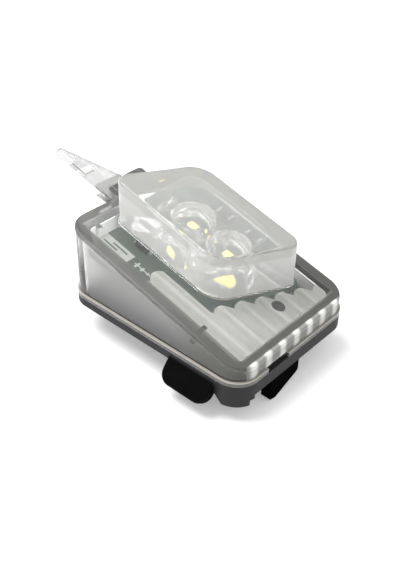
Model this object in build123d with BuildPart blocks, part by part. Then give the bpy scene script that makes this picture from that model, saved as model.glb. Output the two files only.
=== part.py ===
"""Door handle light: a clear wedge cover with a lens block, over a two-lamp board on a black base."""
import os
from math import atan2, cos, radians, sin, tan

from build123d import *

os.makedirs("parts", exist_ok=True)

# Wedge body: length and width at the walls, heights of the cover at its tall and low ends
body_length = 40.0
body_width = 29.8
back_height = 14.5
front_height = 3.5
corner_radius = 4.0
wall = 2.5
roof = 1.8
edge_round = 0.4
flange_reach = 0.35
flange_height = 0.9

# Box on the back wall
box_depth = 3.8
box_width = 8.8
box_side = 2.7
box_corner = 0.8

# Lens block: a leaning four-sided outline with two tight and two broad corners
block_side = 24.0
block_width = 16.4
block_lean = 6.4
block_rise = 8.1
block_x = -1.4
block_y = 1.05
tight_corner = 2.0
broad_corner = 5.0
block_round = 0.6
block_foot = 0.5

# Air domes over the lamps: upright flanks under a flatter crown
dome_radius = 4.0
dome_height = 3.6
crown_radius = 5.2
lamp_pitch = 8.5

# Flutes under the low end of the roof, and the round mark of an ejector pin between them
flute_count = 6
flute_pitch = 3.7
flute_side = -0.5
flute_radius = 1.3
flute_depth = 0.5
flute_gap = 1.4
long_flute_start = -2.6
mark_u = 14.6
mark_y = 2.5
mark_radius = 1.25
mark_proud = 0.1

# Clip prongs behind the back wall
clip_drop = 0.1
clip_reach = 16.2
clip_left = -3.9
clip_right = 2.1
clip_tip = 1.6
clip_tip_round = 0.5
clip_tip_depth = 0.5
clip_nose_depth = 1.9
clip_nose_length = 3.3
clip_neck_depth = 0.9
clip_neck_length = 2.9
clip_shoulder_depth = 2.5
clip_shoulder_length = 3.2
clip_root_depth = 1.5
clip_pocket_start = 4.75
clip_pocket_depth = 0.4
clip_pocket_length = 3.7
clip_pocket_width = 2.1
clip_pocket_margin = 0.6
spring_drop = 2.0
spring_reach = 13.0
spring_taper = 3.4
spring_width = 2.9
spring_gap = 0.4
spring_thickness = 0.9
spring_round = 1.0

# Notch in the low front wall
notch_width = 5.4
notch_height = 1.1
notch_y = -5.3

# Base
plate = 1.5
fit = 0.1
spigot_wall = 1.0
spigot_height = 0.8
skirt_wall = 2.0
skirt_depth = 1.0
foot_wall = 2.2
foot_depth = 2.8
foot_side = 5.8
foot_front = 4.0
foot_ramp = 2.0
foot_notch = 1.0

# Side tongue
tongue_x = 10.0
tongue_width = 10.0
tongue_thickness = 1.6
tongue_reach = 3.0
tongue_angle = 52.0
tongue_sink = 0.3
tongue_corner = 2.2
tongue_round = 0.5

# Ramp hook under the low end
hook_y = -6.7
hook_inset = 0.15
hook_length = 7.5
hook_depth = 4.5
hook_sag = 0.4
hook_nose = 1.4
hook_end = 2.6
hook_round = 0.6
hook_thickness = 2.0

# Socket with its pins
socket_y = 2.6
socket_length = 4.6
socket_width = 7.0
socket_wall = 1.2
socket_gap = 0.5
socket_corner = 0.6
socket_depth = 6.9
socket_roof = 1.0
socket_x = wall + socket_gap + socket_wall + (socket_length - body_length) / 2
pin_size = 0.64
pin_pitch = 2.54
pin_in_socket = 2.6
pin_over_board = 0.8
pin_hole = 1.5

# Board and the posts and ribs that hold it
board_depth = 3.6
board_thickness = 1.0
board_gap = 0.5
board_front_gap = 6.1
board_corner = 1.2
post_radius = 1.2
post_inset = 2.6
rib_length = 1.4
rib_width = 0.9
rib_inset = 2.0

# Chip lamps
lamp_length = 3.5
lamp_width = 2.8
lamp_height = 0.8
fill_length = 2.9
fill_width = 2.2
fill_depth = 0.4
lead_length = 0.7
lead_width = 2.2
lead_thickness = 0.15
lead_proud = 0.15

# Chip resistors and the diode
chip_length = 3.2
chip_width = 1.6
chip_height = 0.55
chip_cap = 0.45
chip_pitch = 7.0
chip_inset = 2.5
diode_length = 2.7
diode_width = 1.6
diode_height = 1.1
diode_lead = 0.5
diode_lead_width = 0.6
diode_lead_thickness = 0.15
diode_u = -10.0
diode_y = -5.6

# Solder joints
solder_gap = 0.1
solder_height = 0.5
solder_radius = pin_pitch / 2 - solder_gap

# Reference planes: the slanted face, its underside, the lens top and both faces of the board
slope = atan2(back_height - front_height, body_length)
slant_height = plate + (back_height + front_height) / 2
slant = Plane(
    origin=(0, 0, slant_height),
    x_dir=(cos(slope), 0, -sin(slope)),
    z_dir=(sin(slope), 0, cos(slope)),
)
ceiling = slant.offset(-roof)
block_top = slant.offset(block_rise)
board_top = slant.offset(-board_depth)
board_bottom = board_top.offset(-board_thickness)
tall = plate + 2 * back_height + block_rise

# Board size: clear of the walls, with its low end short of the front wall
board_width = body_width - 2 * (wall + board_gap)
board_drop = (board_depth + board_thickness) * sin(slope)
board_back = (wall + board_gap - body_length / 2 + board_drop) / cos(slope)
board_front = (body_length / 2 - wall - board_front_gap + board_depth * sin(slope)) / cos(slope)
board_length = board_front - board_back
board_u = (board_front + board_back) / 2

# Walls in plan, shared by the cover and the base
with BuildSketch() as body_outline:
    RectangleRounded(body_length, body_width, corner_radius)
    with Locations(((wall - body_length - box_depth) / 2, box_side)):
        RectangleRounded(box_depth + wall, box_width, box_corner)

with BuildSketch() as flange_outline:
    add(body_outline.sketch)
    offset(amount=flange_reach)

with BuildSketch() as cavity_outline:
    add(body_outline.sketch)
    offset(amount=-wall)

with BuildSketch() as spigot_outline:
    add(body_outline.sketch)
    offset(amount=-(wall + fit))

with BuildSketch() as spigot_inside:
    add(body_outline.sketch)
    offset(amount=-(wall + fit + spigot_wall))

# Hollow of the cover, up to the underside of the slanted roof
with BuildPart() as hollow:
    with BuildSketch(Plane.XY.offset(plate)):
        add(cavity_outline.sketch)
    extrude(amount=tall)
    split(bisect_by=ceiling, keep=Keep.BOTTOM)

# Lens block with upright sides and a top parallel to the slanted face
with BuildPart() as lens_block:
    with BuildSketch() as block_outline:
        with BuildLine():
            Polyline(
                (block_x - (block_side + block_lean) / 2, block_y - block_width / 2),
                (block_x + (block_side - block_lean) / 2, block_y - block_width / 2),
                (block_x + (block_side + block_lean) / 2, block_y + block_width / 2),
                (block_x - (block_side - block_lean) / 2, block_y + block_width / 2),
                close=True,
            )
        make_face()
        fillet(block_outline.vertices().sort_by_distance((block_x, block_y))[:2], broad_corner)
        fillet(block_outline.vertices().sort_by(Axis.X)[0], tight_corner)
        fillet(block_outline.vertices().sort_by(Axis.X)[-1], tight_corner)
    extrude(amount=tall)
    split(bisect_by=block_top, keep=Keep.BOTTOM)
    split(bisect_by=slant.offset(-roof / 2), keep=Keep.TOP)
    fillet(lens_block.faces().sort_by(Axis.Z)[-1].edges(), block_round)

# Air dome, turned about its upright axis
crown_foot = dome_height - crown_radius + (crown_radius**2 - dome_radius**2) ** 0.5
dome_floor = -roof - dome_radius * tan(slope) - flute_radius
with BuildPart() as dome:
    with BuildSketch(Plane.XZ):
        with BuildLine():
            Polyline((0, dome_height), (0, dome_floor), (dome_radius, dome_floor), (dome_radius, crown_foot))
            RadiusArc((dome_radius, crown_foot), (0, dome_height), -crown_radius)
        make_face()
    revolve(axis=Axis.Z)

# Long clip prong: a tapered plan with a barbed nose, a thin neck and a deep shoulder
back_u = -body_length / 2 / cos(slope)
root_u = back_u + wall / 2
box_u = back_u - box_depth / cos(slope)
tip_u = back_u - clip_reach
nose_u = tip_u + clip_nose_length
neck_u = nose_u + clip_neck_length
shoulder_u = neck_u + clip_shoulder_length
with BuildPart() as prong:
    with BuildSketch(slant.offset(-clip_drop)) as prong_outline:
        with BuildLine():
            Polyline(
                (root_u, clip_left),
                (tip_u + clip_tip / 2, clip_left),
                (tip_u, clip_left + clip_tip),
                (box_u, clip_right),
                (root_u, clip_right),
                close=True,
            )
        make_face()
        fillet(prong_outline.vertices().sort_by(Axis.X)[:2], clip_tip_round)
    extrude(amount=-clip_shoulder_depth)
    with BuildSketch(Plane(origin=slant.origin, x_dir=slant.x_dir, z_dir=(0, -1, 0))):
        with BuildLine():
            Polyline(
                (root_u, -clip_drop),
                (tip_u, -clip_drop),
                (tip_u, -clip_drop - clip_tip_depth),
                (nose_u, -clip_drop - clip_nose_depth),
                (neck_u, -clip_drop - clip_neck_depth),
                (shoulder_u, -clip_drop - clip_shoulder_depth),
                (root_u, -clip_drop - clip_root_depth),
                close=True,
            )
        make_face()
    extrude(amount=body_width / 2, both=True, mode=Mode.INTERSECT)
    with BuildSketch(slant.offset(-clip_drop)):
        with Locations((tip_u + clip_pocket_start, clip_left + clip_pocket_margin)):
            Rectangle(clip_pocket_length, clip_pocket_width, align=(Align.MIN, Align.MIN))
    extrude(amount=-clip_pocket_depth, mode=Mode.SUBTRACT)

# Clear cover
spring_left = clip_left - spring_gap - spring_width
spring_right = clip_left - spring_gap
spring_u = back_u - spring_reach
with BuildPart() as lens_cover:
    # Wedge body, cut off by the slanted face
    with BuildSketch(Plane.XY.offset(plate)):
        add(body_outline.sketch)
    extrude(amount=tall)
    split(bisect_by=slant, keep=Keep.BOTTOM)
    fillet(lens_cover.faces().sort_by(Axis.Z)[-1].edges(), edge_round)

    # Flange on the parting line
    with BuildSketch(Plane.XY.offset(plate)):
        add(flange_outline.sketch)
    extrude(amount=flange_height)

    # Long prong, and a short spring prong lower and beside it
    add(prong.part)
    with BuildSketch(slant.offset(-spring_drop)) as spring_outline:
        with BuildLine():
            Polyline(
                (root_u, spring_left),
                (spring_u + spring_taper, spring_left),
                (spring_u, spring_right),
                (root_u, spring_right),
                close=True,
            )
        make_face()
        fillet(spring_outline.vertices().sort_by(Axis.X)[:2], spring_round)
    extrude(amount=-spring_thickness)

    # Hollow, then the lens block with a small round at its foot, and its two air domes
    add(hollow.part, mode=Mode.SUBTRACT)
    add(lens_block.part)
    foot_edges = lens_cover.edges().filter_by(
        lambda edge: abs(slant.to_local_coords(edge.center()).Z) < edge_round / 10
        and abs(edge.center().X - block_x) < (block_side + block_lean) / 2
        and abs(edge.center().Y - block_y) < block_width / 2 + edge_round
    )
    fillet(foot_edges, block_foot)
    block_u = block_x / cos(slope)
    domes = [slant.from_local_coords((block_u + side * lamp_pitch / 2, block_y, 0)) for side in (-1, 1)]
    with Locations(*domes):
        add(dome.part, mode=Mode.SUBTRACT)

    # Flutes along the slope, each with a round start, turning down the inside of the front wall
    flute_end = (body_length / 2 - wall + flute_depth) / cos(slope)
    flute_bend = body_length / 2 - wall + flute_depth - flute_radius
    flute_drop = slant_height - flute_bend * tan(slope) - (roof + flute_radius - flute_depth) / cos(slope)
    for count in range(flute_count):
        flute_y = flute_side + (count - (flute_count - 1) / 2) * flute_pitch
        lean_x = block_x + block_side / 2 + (flute_y - block_y) * block_lean / block_width
        flute_start = long_flute_start if count == 0 else lean_x + flute_gap
        with Locations(ceiling.offset(flute_depth - flute_radius)):
            with Locations((flute_start, flute_y)):
                Sphere(flute_radius, mode=Mode.SUBTRACT)
                Cylinder(
                    flute_radius,
                    flute_end - flute_start,
                    rotation=(0, 90, 0),
                    align=(Align.CENTER, Align.CENTER, Align.MIN),
                    mode=Mode.SUBTRACT,
                )
        with Locations((flute_bend, flute_y, plate)):
            Cylinder(
                flute_radius,
                flute_drop - plate,
                align=(Align.CENTER, Align.CENTER, Align.MIN),
                mode=Mode.SUBTRACT,
            )
    with BuildSketch(ceiling.offset(-mark_proud)):
        with Locations((mark_u, mark_y)):
            Circle(mark_radius)
    extrude(amount=mark_proud + flute_depth)

    # Ribs that hold the board down: two on the back wall, one on each side wall
    with BuildSketch(ceiling):
        with Locations(((wall - body_length / 2) / cos(slope) + rib_length / 2, 0)):
            with GridLocations(rib_length, board_width - 2 * rib_inset, 1, 2):
                Rectangle(rib_length, rib_width)
        with Locations((board_front - 2 * rib_length, 0)):
            with GridLocations(rib_width, body_width - 2 * wall - rib_length, 1, 2):
                Rectangle(rib_width, rib_length)
    extrude(amount=roof - board_depth)

    # Notch in the front wall
    with BuildSketch(Plane.XY.offset(plate)):
        with Locations((body_length / 2 - wall, notch_y)):
            Rectangle(wall + 2 * flange_reach, notch_width, align=(Align.MIN, Align.CENTER))
    extrude(amount=notch_height, mode=Mode.SUBTRACT)

# Side tongue: a sloping lip with rounded free corners
edge_y = -(body_width / 2 + flange_reach)
tongue_slope = radians(tongue_angle)
tongue_top = plate - tongue_sink
tongue_drop = tongue_reach * tan(tongue_slope)
with BuildPart() as tongue:
    with BuildSketch(Plane.YZ.offset(tongue_x)):
        with BuildLine():
            Polyline(
                (edge_y + wall, tongue_top),
                (edge_y, tongue_top),
                (edge_y - tongue_reach, tongue_top - tongue_drop),
                (
                    edge_y - tongue_reach + tongue_thickness * sin(tongue_slope),
                    tongue_top - tongue_drop - tongue_thickness * cos(tongue_slope),
                ),
                (edge_y + wall, 0),
                close=True,
            )
        make_face()
    extrude(amount=tongue_width / 2, both=True)
    fillet(
        tongue.edges().filter_by(Axis((0, 0, 0), (0, sin(tongue_slope), -cos(tongue_slope)))),
        tongue_corner,
    )
    fillet(tongue.faces().sort_by(Axis.Y)[0].edges(), tongue_round)

# Posts under the board, cut off by its underside
with BuildPart() as board_posts:
    with BuildSketch(Plane.XY.offset(plate / 2)):
        with Locations((socket_x, socket_y)):
            with GridLocations(socket_length, socket_width + socket_wall, 1, 2):
                Rectangle(socket_length, socket_wall)
        with Locations((board_front * cos(slope) - post_inset, 0)):
            with GridLocations(post_inset, board_width - 2 * post_inset, 1, 2):
                Circle(post_radius)
    extrude(amount=tall)
    split(bisect_by=board_bottom, keep=Keep.BOTTOM)

# Black base
with BuildPart() as base:
    # Plate under the whole body, with a spigot inside the walls of the cover
    with BuildSketch():
        add(flange_outline.sketch)
    extrude(amount=plate)
    with BuildSketch(Plane.XY.offset(plate)):
        add(spigot_outline.sketch)
        add(spigot_inside.sketch, mode=Mode.SUBTRACT)
    extrude(amount=spigot_height)

    # Skirt along the low end
    with BuildSketch():
        add(flange_outline.sketch)
        with Locations((body_length / 2 + flange_reach - skirt_wall / 2, 0)):
            Rectangle(skirt_wall, 2 * body_width, mode=Mode.INTERSECT)
    extrude(amount=-skirt_depth)

    # Corner foot with a small square notch at its free end
    with BuildSketch():
        add(flange_outline.sketch)
        offset(amount=-foot_wall, mode=Mode.SUBTRACT)
        with Locations((body_length / 2 + flange_reach, edge_y)):
            Rectangle(foot_side, foot_front, align=(Align.MAX, Align.MIN), mode=Mode.INTERSECT)
    extrude(amount=-foot_depth)
    chamfer(base.edges().group_by(Axis.Z)[0].filter_by(Axis.Y).sort_by(Axis.X)[0], foot_ramp)
    with Locations((body_length / 2 + flange_reach, edge_y + foot_front, -foot_depth)):
        Box(
            foot_notch,
            foot_notch,
            foot_notch,
            align=(Align.MAX, Align.MAX, Align.MIN),
            mode=Mode.SUBTRACT,
        )

    # Ramp hook
    with BuildSketch(Plane.YZ.offset(body_length / 2 + flange_reach - hook_inset)) as hook_outline:
        with BuildLine():
            Polyline(
                (hook_y, 0),
                (hook_y, -skirt_depth - hook_depth),
                (hook_y + hook_nose, -skirt_depth - hook_depth - hook_sag),
                (hook_y + hook_length, -skirt_depth - hook_end),
                (hook_y + hook_length, 0),
                close=True,
            )
        make_face()
        fillet(hook_outline.vertices().sort_by(Axis.X)[-2:].sort_by(Axis.Y)[0], hook_round)
    extrude(amount=-hook_thickness)

    # Tongue, posts and the socket tower, open at the underside
    add(tongue.part)
    with BuildSketch():
        with Locations((socket_x, socket_y)):
            RectangleRounded(socket_length + 2 * socket_wall, socket_width + 2 * socket_wall, socket_corner)
    extrude(amount=socket_depth + socket_roof)
    add(board_posts.part)
    with BuildSketch():
        with Locations((socket_x, socket_y)):
            Rectangle(socket_length, socket_width)
    extrude(amount=socket_depth, mode=Mode.SUBTRACT)
    with BuildSketch():
        with Locations((socket_x, socket_y)):
            with GridLocations(pin_pitch, pin_pitch, 1, 2):
                Rectangle(pin_size, pin_size)
    extrude(amount=socket_depth + socket_roof, mode=Mode.SUBTRACT)

# Board with its pin holes
pin_u = (socket_x + (board_depth + board_thickness / 2) * sin(slope)) / cos(slope)
with BuildPart() as circuit_board:
    with BuildSketch(board_top):
        with Locations((board_u, 0)):
            RectangleRounded(board_length, board_width, board_corner)
    extrude(amount=-board_thickness)
    with Locations(board_top):
        with Locations((pin_u, socket_y)):
            with GridLocations(pin_pitch, pin_pitch, 1, 2):
                Hole(pin_hole / 2)

# Square pins from the socket up through the board
pin_low = socket_depth - pin_in_socket
pin_top = slant_height - socket_x * tan(slope) - board_depth / cos(slope) + pin_over_board
pins = {}
for name, side in (("positive", -1), ("negative", 1)):
    with BuildPart() as pin:
        with BuildSketch(Plane.XY.offset(pin_low)):
            with Locations((socket_x, socket_y + side * pin_pitch / 2)):
                Rectangle(pin_size, pin_size)
        extrude(amount=pin_top - pin_low)
        chamfer(pin.faces().sort_by(Axis.Z)[0].edges(), pin_size / 4)
    pin.part.label = "terminal_" + name
    export_step(pin.part, "parts/terminal_" + name + ".step")
    pins[name] = pin

# Solder joints: a plug in each hole and a low cone round the pin
with BuildPart() as terminal_solder:
    with BuildSketch(board_top):
        with Locations((pin_u, socket_y)):
            with GridLocations(pin_pitch, pin_pitch, 1, 2):
                Circle(solder_radius)
    extrude(amount=solder_height, taper=45)
    with BuildSketch(board_top):
        with Locations((pin_u, socket_y)):
            with GridLocations(pin_pitch, pin_pitch, 1, 2):
                Circle(pin_hole / 2)
    extrude(amount=-board_thickness)
    for pin in pins.values():
        add(pin.part, mode=Mode.SUBTRACT)

# Chip lamps: leads on the board, a white housing over them and the fill in its window
for name, side in (("rear", -1), ("front", 1)):
    lamp_u = block_u + side * lamp_pitch / 2
    lead_pitch = lamp_length + 2 * lead_proud - lead_length
    with BuildPart() as leads:
        with BuildSketch(board_top):
            with Locations((lamp_u, block_y)):
                with GridLocations(lead_pitch, lead_width, 2, 1):
                    Rectangle(lead_length, lead_width)
        extrude(amount=lead_thickness)
    with BuildPart() as fill:
        with BuildSketch(board_top.offset(lamp_height)):
            with Locations((lamp_u, block_y)):
                RectangleRounded(fill_length, fill_width, fill_depth)
        extrude(amount=-fill_depth)
    with BuildPart() as housing:
        with BuildSketch(board_top):
            with Locations((lamp_u, block_y)):
                Rectangle(lamp_length, lamp_width)
        extrude(amount=lamp_height)
        add(leads.part, mode=Mode.SUBTRACT)
        add(fill.part, mode=Mode.SUBTRACT)
    leads.part.label = "led_" + name + "_leads"
    fill.part.label = "led_" + name + "_phosphor"
    housing.part.label = "led_" + name + "_housing"
    export_step(leads.part, "parts/led_" + name + "_leads.step")
    export_step(fill.part, "parts/led_" + name + "_phosphor.step")
    export_step(housing.part, "parts/led_" + name + "_housing.step")

# Chip resistors: a ceramic body between two tinned caps, along one edge of the board
chip_y = board_width / 2 - chip_inset
for name, side in (("a", -1), ("b", 1)):
    chip_u = block_u + side * chip_pitch / 2
    with BuildPart() as body:
        with BuildSketch(board_top):
            with Locations((chip_u, chip_y)):
                Rectangle(chip_length - 2 * chip_cap, chip_width)
        extrude(amount=chip_height)
    with BuildPart() as caps:
        with BuildSketch(board_top):
            with Locations((chip_u, chip_y)):
                with GridLocations(chip_length - chip_cap, chip_width, 2, 1):
                    Rectangle(chip_cap, chip_width)
        extrude(amount=chip_height)
    body.part.label = "resistor_" + name + "_body"
    caps.part.label = "resistor_" + name + "_caps"
    export_step(body.part, "parts/resistor_" + name + "_body.step")
    export_step(caps.part, "parts/resistor_" + name + "_caps.step")

# Polarity diode with a flat lead at each end
with BuildPart() as diode_leads:
    with BuildSketch(board_top):
        with Locations((diode_u, diode_y)):
            with GridLocations(diode_length + diode_lead, diode_lead_width, 2, 1):
                Rectangle(2 * diode_lead, diode_lead_width)
    extrude(amount=diode_lead_thickness)

with BuildPart() as diode_body:
    with BuildSketch(board_top):
        with Locations((diode_u, diode_y)):
            Rectangle(diode_length, diode_width)
    extrude(amount=diode_height)
    add(diode_leads.part, mode=Mode.SUBTRACT)

lens_cover.part.label = "lens_cover"
base.part.label = "base"
circuit_board.part.label = "circuit_board"
terminal_solder.part.label = "terminal_solder"
diode_leads.part.label = "diode_leads"
diode_body.part.label = "diode_body"
export_step(lens_cover.part, "parts/lens_cover.step")
export_step(base.part, "parts/base.step")
export_step(circuit_board.part, "parts/circuit_board.step")
export_step(terminal_solder.part, "parts/terminal_solder.step")
export_step(diode_leads.part, "parts/diode_leads.step")
export_step(diode_body.part, "parts/diode_body.step")
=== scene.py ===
from math import atan2, cos, radians, sin
import bmesh
import bpy
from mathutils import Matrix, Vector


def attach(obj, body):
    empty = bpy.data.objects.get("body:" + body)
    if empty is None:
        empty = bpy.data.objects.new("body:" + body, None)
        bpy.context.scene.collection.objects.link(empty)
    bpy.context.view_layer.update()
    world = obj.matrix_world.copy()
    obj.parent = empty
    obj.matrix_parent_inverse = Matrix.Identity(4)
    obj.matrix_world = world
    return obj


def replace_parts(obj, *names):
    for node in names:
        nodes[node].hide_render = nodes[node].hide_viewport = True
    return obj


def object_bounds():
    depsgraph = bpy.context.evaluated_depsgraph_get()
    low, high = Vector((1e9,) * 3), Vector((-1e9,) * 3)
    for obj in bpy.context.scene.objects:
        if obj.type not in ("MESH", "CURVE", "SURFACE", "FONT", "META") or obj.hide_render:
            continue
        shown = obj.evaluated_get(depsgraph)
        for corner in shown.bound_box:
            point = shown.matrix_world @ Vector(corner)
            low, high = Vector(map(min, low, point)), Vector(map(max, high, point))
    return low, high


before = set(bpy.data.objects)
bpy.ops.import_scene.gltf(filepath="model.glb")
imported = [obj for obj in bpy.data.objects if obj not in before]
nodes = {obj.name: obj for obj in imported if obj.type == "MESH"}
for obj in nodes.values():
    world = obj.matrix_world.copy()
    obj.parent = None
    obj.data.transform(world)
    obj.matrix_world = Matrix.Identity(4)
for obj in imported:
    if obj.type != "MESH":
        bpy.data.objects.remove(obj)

cad_box = [list(corner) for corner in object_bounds()]
# Base: one black moulding with a fine eroded skin, welded under the cover. Its side tongue and ramp
# hook slide against the handle and come from polished steel, so they are glossy.
mm = 0.001
edge_round = 0.12


class Value:
    """A socket of a node tree that adds up like a number."""

    def __init__(self, tree, socket):
        self.tree, self.socket = tree, socket

    def make(self, kind, settings, inputs, out=0):
        node = self.tree.nodes.new(kind)
        for name, setting in settings.items():
            setattr(node, name, setting)
        for name, value in inputs.items():
            if isinstance(value, Value):
                self.tree.links.new(value.socket, node.inputs[name])
            else:
                node.inputs[name].default_value = value
        return Value(self.tree, node.outputs[out])

    def math(self, operation, a, b=0.0):
        return self.make("ShaderNodeMath", {"operation": operation}, {0: a, 1: b})

    def __add__(self, other):
        return self.math("ADD", self, other)

    __radd__ = __add__

    def __sub__(self, other):
        return self.math("SUBTRACT", self, other)

    def __rsub__(self, other):
        return self.math("SUBTRACT", other, self)

    def __mul__(self, other):
        return self.math("MULTIPLY", self, other)

    __rmul__ = __mul__

    def __abs__(self):
        return self.math("ABSOLUTE", self)

    def at_most(self, other):
        return self.math("MINIMUM", self, other)

    def at_least(self, other):
        return self.math("MAXIMUM", self, other)

    def rise(self, start, end):
        """0 before start, 1 after end, smooth between them."""
        return self.make(
            "ShaderNodeMapRange",
            {"interpolation_type": "SMOOTHSTEP"},
            {"Value": self, "From Min": start, "From Max": end},
        )

    def between(self, low, high, soft):
        return self.rise(low - soft, low + soft) * (1 - self.rise(high - soft, high + soft))

    def blend(self, start, end):
        """A colour from start to end as this value goes from 0 to 1."""
        return self.make("ShaderNodeMix", {"data_type": "RGBA"}, {0: self, 6: start, 7: end}, 2)

    def noise(self, scale, detail=2.0):
        """Cloudy pattern on this place, with scale features to the millimetre."""
        return self.make("ShaderNodeTexNoise", {}, {"Vector": self, "Scale": scale, "Detail": detail})

    def bump(self, strength, height):
        return self.make("ShaderNodeBump", {}, {"Height": self, "Strength": strength, "Distance": height * mm})

    def parts(self):
        return [self.make("ShaderNodeSeparateXYZ", {}, {0: self}, axis) for axis in range(3)]

    def into(self, shader, name):
        self.tree.links.new(self.socket, shader.inputs[name])


def finish(name, **constants):
    """A new material, its surface shader and the place on the object in millimetres."""
    material = bpy.data.materials.new(name)
    material.use_nodes = True
    tree = material.node_tree
    shader = tree.nodes["Principled BSDF"]
    for socket, value in constants.items():
        shader.inputs[socket.replace("_", " ")].default_value = value
    metres = Value(tree, tree.nodes.new("ShaderNodeTexCoord").outputs["Object"])
    place = metres.make("ShaderNodeVectorMath", {"operation": "SCALE"}, {0: metres, "Scale": 1 / mm})
    return material, shader, place


def second_skin(material, share):
    """Another surface shader on the material, which shows by the given share."""
    tree = material.node_tree
    skin = tree.nodes.new("ShaderNodeBsdfPrincipled")
    first = Value(tree, tree.nodes["Principled BSDF"].outputs[0])
    share.make("ShaderNodeMixShader", {}, {0: share, 1: first, 2: Value(tree, skin.outputs[0])}).into(
        tree.nodes["Material Output"], "Surface")
    return skin


def rounded_copy(name, mesh, material, node):
    """A piece from a mesh, with rounded edges, that stands for a solid of the frame."""
    data = bpy.data.meshes.new(name)
    mesh.to_mesh(data)
    mesh.free()
    data.shade_smooth()
    data.set_sharp_from_angle(angle=radians(28))
    data.materials.append(material)
    piece = bpy.data.objects.new(name, data)
    bpy.context.scene.collection.objects.link(piece)
    edges = piece.modifiers.new("edge_round", "BEVEL")
    edges.width, edges.segments = edge_round * mm, 2
    edges.limit_method, edges.angle_limit = "ANGLE", radians(35)
    piece.modifiers.new("even_normals", "WEIGHTED_NORMAL").keep_sharp = True
    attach(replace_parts(piece, node), "root")


def merged(node):
    """The mesh of a solid with its loose triangles joined into flat faces."""
    mesh = bmesh.new()
    mesh.from_mesh(nodes[node].data)
    bmesh.ops.remove_doubles(mesh, verts=mesh.verts, dist=1e-7)
    bmesh.ops.dissolve_limit(mesh, angle_limit=radians(0.3), verts=mesh.verts, edges=mesh.edges)
    return mesh


def coat(node, material):
    """The material on a solid that is kept as it is."""
    nodes[node].material_slots[0].material = material


material, shader, place = finish("black_moulding", Specular_IOR_Level=0.3)
x, y, z = place.parts()
grain = place.noise(4.0, 3.0)
place.noise(0.35).blend((0.009, 0.009, 0.0105, 1), (0.015, 0.015, 0.0165, 1)).into(shader, "Base Color")
(0.55 + 0.16 * (grain - 0.5)).into(shader, "Roughness")
grain.bump(0.5, 0.03).into(shader, "Normal")
tongue = 1 - y.rise(-15.6, -15.2)
hook = x.rise(18.0, 18.15) * (1 - z.rise(-1.2, -1.0)) * y.rise(-7.2, -6.9)
gloss = second_skin(material, tongue.at_least(hook))
gloss.inputs["Specular IOR Level"].default_value = 0.0
gloss.inputs["Coat Roughness"].default_value = 0.06
(0.01 + 0.07 * tongue).into(gloss, "Coat Weight")
place.noise(0.5).blend((0.002, 0.002, 0.002, 1), (0.004, 0.004, 0.004, 1)).into(gloss, "Base Color")
(0.4 + 0.1 * place.noise(1.2)).into(gloss, "Roughness")
rounded_copy("lower_shell", merged("base"), material, "base")

# Pins and their solder: two lengths of tinned square wire, pressed through the roof of the socket from
# above and soldered on the board.
material, shader, place = finish("tinned_pin", Metallic=1.0)
place.noise(1.5, 3.0).blend((0.62, 0.6, 0.55, 1), (0.8, 0.79, 0.76, 1)).into(shader, "Base Color")
(0.22 + 0.2 * place.noise(6.0)).into(shader, "Roughness")
for node in ("terminal_positive", "terminal_negative", "terminal_solder"):
    coat(node, material)

# Circuit board: glass-epoxy laminate with green lacquer over etched copper. White print frames the
# pads at the tall end, and plain marks show the way round of the parts.
body_length, back_height, front_height, base_plate = 40.0, 14.5, 3.5, 1.5
slope = atan2(back_height - front_height, body_length)
face_middle = base_plate + (back_height + front_height) / 2


def along_face(x, z):
    """Distance down the slanted face from its middle."""
    return x * cos(slope) - (z - face_middle) * sin(slope)


material, shader, place = finish("green_lacquer", Coat_Roughness=0.12, Coat_Weight=0.4)
x, y, z = place.parts()
along = along_face(x, z)
weave = place.noise(5.0, 1.0)
copper = (y + 10.9).between(-0.35, 0.35, 0.06)
copper = copper + (y + 0.4 * along + 10.6).between(-0.3, 0.3, 0.06) * along.rise(-6.0, -5.5)
copper = copper + (y - 6.5).between(-0.5, 0.5, 0.06) + (along - 11.0).between(-0.5, 0.5, 0.06)
copper = copper.at_most(1.0)
lacquer = place.noise(0.4).blend((0.06, 0.1, 0.08, 1), (0.085, 0.135, 0.105, 1))
lacquer = copper.blend(lacquer, (0.13, 0.19, 0.145, 1))
frame_print = along.between(-16.8, -9.2, 0.05) * y.between(-11.7, -8.3, 0.05)
slots = along.between(-15.6, -12.2, 0.05) * (y + 9.9).between(-0.18, 0.18, 0.04)
slots = slots + along.between(-14.0, -10.4, 0.05) * (y + 9.1).between(-0.18, 0.18, 0.04)
from_mark = y + 9.4
marks = along.between(-8.2, -4.2, 0.05) * from_mark.between(-0.14, 0.14, 0.04)
for step in range(3):
    half_bar = 0.7 - 0.2 * step
    bar = (along + 7.6 - 1.3 * step).between(-0.22, 0.22, 0.04)
    marks = marks + bar * from_mark.between(-half_bar, half_bar, 0.04)
white = (frame_print * (1 - slots) + marks).at_most(1.0)
white.blend(lacquer, (0.74, 0.75, 0.72, 1)).into(shader, "Base Color")
(0.32 + 0.25 * white + 0.08 * weave).into(shader, "Roughness")
(weave + 0.6 * copper).bump(0.25, 0.03).into(shader, "Normal")
coat("circuit_board", material)

# Chip lamps: a white housing moulded round tinned leads, with yellow phosphor cast in its window. The
# leads are soldered flat on the board.
material, shader, place = finish("lamp_white", Roughness=0.45)
place.noise(2.0).blend((0.78, 0.78, 0.75, 1), (0.86, 0.86, 0.83, 1)).into(shader, "Base Color")
for node in ("led_rear_housing", "led_front_housing"):
    coat(node, material)
# The phosphor's emission is a painted glow that makes it read a brighter yellow.
material, shader, place = finish(
    "phosphor", Roughness=0.25, Emission_Color=(1.0, 0.74, 0.14, 1), Emission_Strength=2.3)
place.noise(3.0).blend((0.92, 0.8, 0.22, 1), (0.96, 0.9, 0.45, 1)).into(shader, "Base Color")
for node in ("led_rear_phosphor", "led_front_phosphor"):
    coat(node, material)

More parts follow.
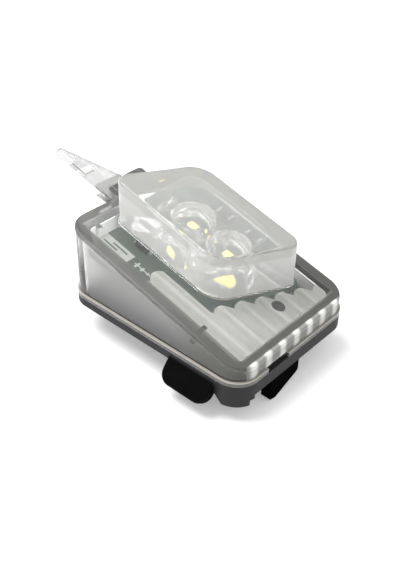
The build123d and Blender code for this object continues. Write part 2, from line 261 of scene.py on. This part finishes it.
# Small parts on the board: black chip resistors with tinned end caps, and a black moulded diode. Their
# tinned ends, like the lamps' leads, are soldered flat on the board.
material, shader, place = finish("tin", Metallic=1.0)
place.noise(2.0).blend((0.68, 0.68, 0.68, 1), (0.8, 0.8, 0.8, 1)).into(shader, "Base Color")
(0.3 + 0.15 * place.noise(5.0)).into(shader, "Roughness")
for node in ("led_rear_leads", "led_front_leads", "resistor_a_caps", "resistor_b_caps", "diode_leads"):
    coat(node, material)
material, shader, place = finish("chip_black", Roughness=0.5)
place.noise(2.0).blend((0.015, 0.015, 0.016, 1), (0.03, 0.03, 0.032, 1)).into(shader, "Base Color")
for node in ("resistor_a_body", "resistor_b_body", "diode_body"):
    coat(node, material)

# Lens cover: one clear moulding, polished outside, with a satin lens block and satin inner walls. The
# flutes under its low end are satin too, with a painted highlight along each crest. Painted shade darkens
# the inner walls towards the bottom and the low end, the rim band, the lip band and the front wall;
# painted highlights stripe the front wall and line the top edge of the flange.
dome_axes, dome_y = (-5.498, 2.698), 1.05
flute_pitch, first_flute, stripe_shift = 3.7, -9.75, 1.6
ejector_along, ejector_y = 14.6, 2.5


def from_crest(y, first):
    """Distance in pitches from the nearest crest of a row."""
    turn = (y - first) * (1 / flute_pitch) + 0.5
    return abs(turn.math("FRACT", turn) - 0.5)


def square_from(a, b, a_middle, b_middle):
    """Square of the distance from an axis."""
    return (a - a_middle) * (a - a_middle) + (b - b_middle) * (b - b_middle)


material, shader, place = finish(
    "clear_plastic", Transmission_Weight=1.0, IOR=1.49, Base_Color=(0.95, 0.96, 0.95, 1))
x, y, z = place.parts()
height = x * sin(slope) + (z - face_middle) * cos(slope)
along = along_face(x, z)
lens_top = height.rise(7.4, 8.0)
dome = flank = 0.0
for axis in dome_axes:
    within = (1 - square_from(x, y, axis, dome_y).rise(16.2, 17.8)) * height.between(-1.7, 4.4, 0.1)
    level = z + axis * sin(slope) / cos(slope)
    dome = within + dome
    flank = within * (1 - level.rise(11.4, 12.0)) + flank
lens_side = height.rise(0.1, 0.5) * (1 - lens_top) * (1 - dome)
lip_painted_shade = height.between(6.2, 7.6, 0.15) * (1 - dome)
inside = (1 - abs(y).rise(12.5, 12.7)) * (1 - abs(x).rise(17.6, 18.2))
inner_wall = inside * (1 - height.rise(-2.2, -1.9))
ceiling = inside * height.between(-1.95, -1.1, 0.05) * (1 - dome)
flange = (1 - z.rise(2.35, 2.5)) * (1 - inside)
clip = 1 - x.rise(-24.6, -24.0)
rim_painted_shade = height.between(-0.7, 0.1, 0.1) * (1 - inside)
lane = from_crest(y, first_flute) * flute_pitch
round_start = 0.35 * lane * lane
fluted = (along - round_start).rise(-3.9, -3.6) * (1 - y.rise(-8.3, -8.0))
fluted = (fluted + (along - 0.39 * y - round_start).rise(10.5, 10.9)).at_most(1.0)
fluted = fluted * square_from(along, y, ejector_along, ejector_y).rise(1.4, 1.8)
# Painted highlight: a bright line of pale cloud along each flute crest.
crest = fluted * (1 - lane.rise(0.2, 0.5))
flute = ceiling * fluted
# On the outer front wall: a grey painted shade, with white stripes in line with the flutes that are painted
# highlights.
front = x.rise(19.2, 19.6) * z.between(2.5, 5.2, 0.1) * (1 - abs(y).rise(12.5, 13.0))
painted_stripes = front * (1 - from_crest(y, first_flute - stripe_shift).rise(0.08, 0.32))
# A painted highlight: a cream line along the top outer edge of the flange.
flange_painted_highlight = flange * z.between(2.2, 2.5, 0.05)
past_x, past_y = (abs(x) - 6.3).at_least(0.0), (abs(y + 0.55) - 3.85).at_least(0.0)
past = past_x * past_x + past_y * past_y
field = lens_top * (1 - past.rise(7.2, 8.4))
border = lens_top * past.between(7.3, 8.6, 0.5)
satin = 0.02 + 0.09 * lens_top + 0.35 * inner_wall + 0.25 * flute + 0.12 * flank + 0.06 * lens_side
satin.into(shader, "Roughness")
low_end = x.rise(2.0, 14.0)
haze = 0.05 + 0.32 * lens_top + 0.05 * field + 0.06 * border + 0.6 * lens_side + 0.1 * lip_painted_shade + 0.08 * flank
haze = haze + inner_wall * (0.45 + 0.3 * low_end) + flute * (0.7 + 0.2 * crest)
haze = haze + 0.14 * flange + 0.4 * flange_painted_highlight + 0.02 * clip + 0.68 * rim_painted_shade + 0.55 * front + 0.1 * painted_stripes
cloud = second_skin(material, haze)
cloud.inputs["Roughness"].default_value = 0.6
for skin in (shader, cloud):
    (1 - 0.5 * clip).into(skin, "Alpha")
tone = place.noise(0.25).blend((0.6, 0.6, 0.58, 1), (0.7, 0.7, 0.68, 1))
tone = (lens_side + dome).blend(tone, (0.95, 0.95, 0.93, 1))
# The lip band is painted a darker grey than the block's sides: painted shade.
tone = lip_painted_shade.blend(tone, (0.72, 0.72, 0.7, 1))
tone = clip.blend(tone, (0.95, 0.95, 0.93, 1))
# The rim band is painted dark grey: painted shade.
tone = rim_painted_shade.blend(tone, (0.105, 0.105, 0.098, 1))
# Painted shade on the inner walls: darker towards the bottom, and darkest and green-tinted towards the low
# end.
painted_wall_shade = z.rise(1.5, 9.0).blend((0.27, 0.265, 0.28, 1), (0.78, 0.78, 0.77, 1))
painted_wall_shade = low_end.blend(painted_wall_shade, (0.08, 0.09, 0.035, 1))
tone = inner_wall.blend(tone, painted_wall_shade)
cloudy = place.noise(0.7, 4.0).blend((0.82, 0.82, 0.75, 1), (0.99, 0.99, 0.95, 1))
tone = flute.blend(tone, cloudy)
# Painted shade: the front wall's grey.
tone = front.blend(tone, (0.3, 0.3, 0.29, 1))
tone = flange_painted_highlight.blend(tone, (0.85, 0.8, 0.7, 1))
# Painted highlights: the lines along the flute crests and the stripes on the front wall.
(flute * crest).at_least(painted_stripes).blend(tone, (0.86, 0.86, 0.82, 1)).into(cloud, "Base Color")
rounded_copy("cover", merged("lens_cover"), material, "lens_cover")

# Studio: a pale floor just under the lamp, a sky that is white overhead and grey at the horizon, and
# one large round softbox at the upper left.
floor_mesh = bmesh.new()
bmesh.ops.create_grid(floor_mesh, x_segments=1, y_segments=1, size=1.5)
bmesh.ops.translate(floor_mesh, verts=floor_mesh.verts, vec=(0, 0, cad_box[0][2] - 0.02 * mm))
data = bpy.data.meshes.new("floor")
floor_mesh.to_mesh(data)
floor_mesh.free()
floor = bpy.data.objects.new("floor", data)
bpy.context.scene.collection.objects.link(floor)
material, shader, place = finish("floor", Base_Color=(0.8, 0.8, 0.8, 1), Roughness=0.9, Emission_Strength=0.3)
shader.inputs["Specular IOR Level"].default_value = 0.0
camera_ray, glossy_ray, through_ray = [
    place.make("ShaderNodeLightPath", {}, {}, name) for name in
    ("Is Camera Ray", "Is Glossy Ray", "Is Transmission Ray")]
(camera_ray + glossy_ray + through_ray).blend((0, 0, 0, 1), (1, 1, 1, 1)).into(shader, "Emission Color")
data.materials.append(material)

world = bpy.data.worlds.new("studio")
bpy.context.scene.world = world
world.use_nodes = True
sky = world.node_tree.nodes["Background"]
start = Value(world.node_tree, world.node_tree.nodes.new("ShaderNodeTexCoord").outputs["Generated"])
up = start.parts()[2]
up.rise(0.0, 0.85).blend((0.42, 0.42, 0.425, 1), (1, 1, 1, 1)).into(sky, "Color")
sky.inputs["Strength"].default_value = 0.9

light = bpy.data.lights.new("softbox", "AREA")
light.shape, light.size, light.energy = "DISK", 0.3, 2.2
softbox = bpy.data.objects.new("softbox", light)
softbox.location = (-0.16, -0.1, 0.42)
softbox.rotation_euler = (-softbox.location).to_track_quat("-Z", "Y").to_euler()
bpy.context.scene.collection.objects.link(softbox)

# Camera: a long lens over the low end's near corner, where the photograph was taken from. Its place was
# worked out from the straight edges of the body.
lens = bpy.data.cameras.new("camera")
lens.lens = 51.767
camera = bpy.data.objects.new("camera", lens)
camera.location = (0.0765777, -0.0895136, 0.0909943)
camera.rotation_euler = (radians(53.7246), radians(-0.9858), radians(41.9281))
lens.clip_start = 0.01
bpy.context.scene.collection.objects.link(camera)
bpy.context.scene.camera = camera
bpy.context.scene.view_settings.view_transform = "Standard"
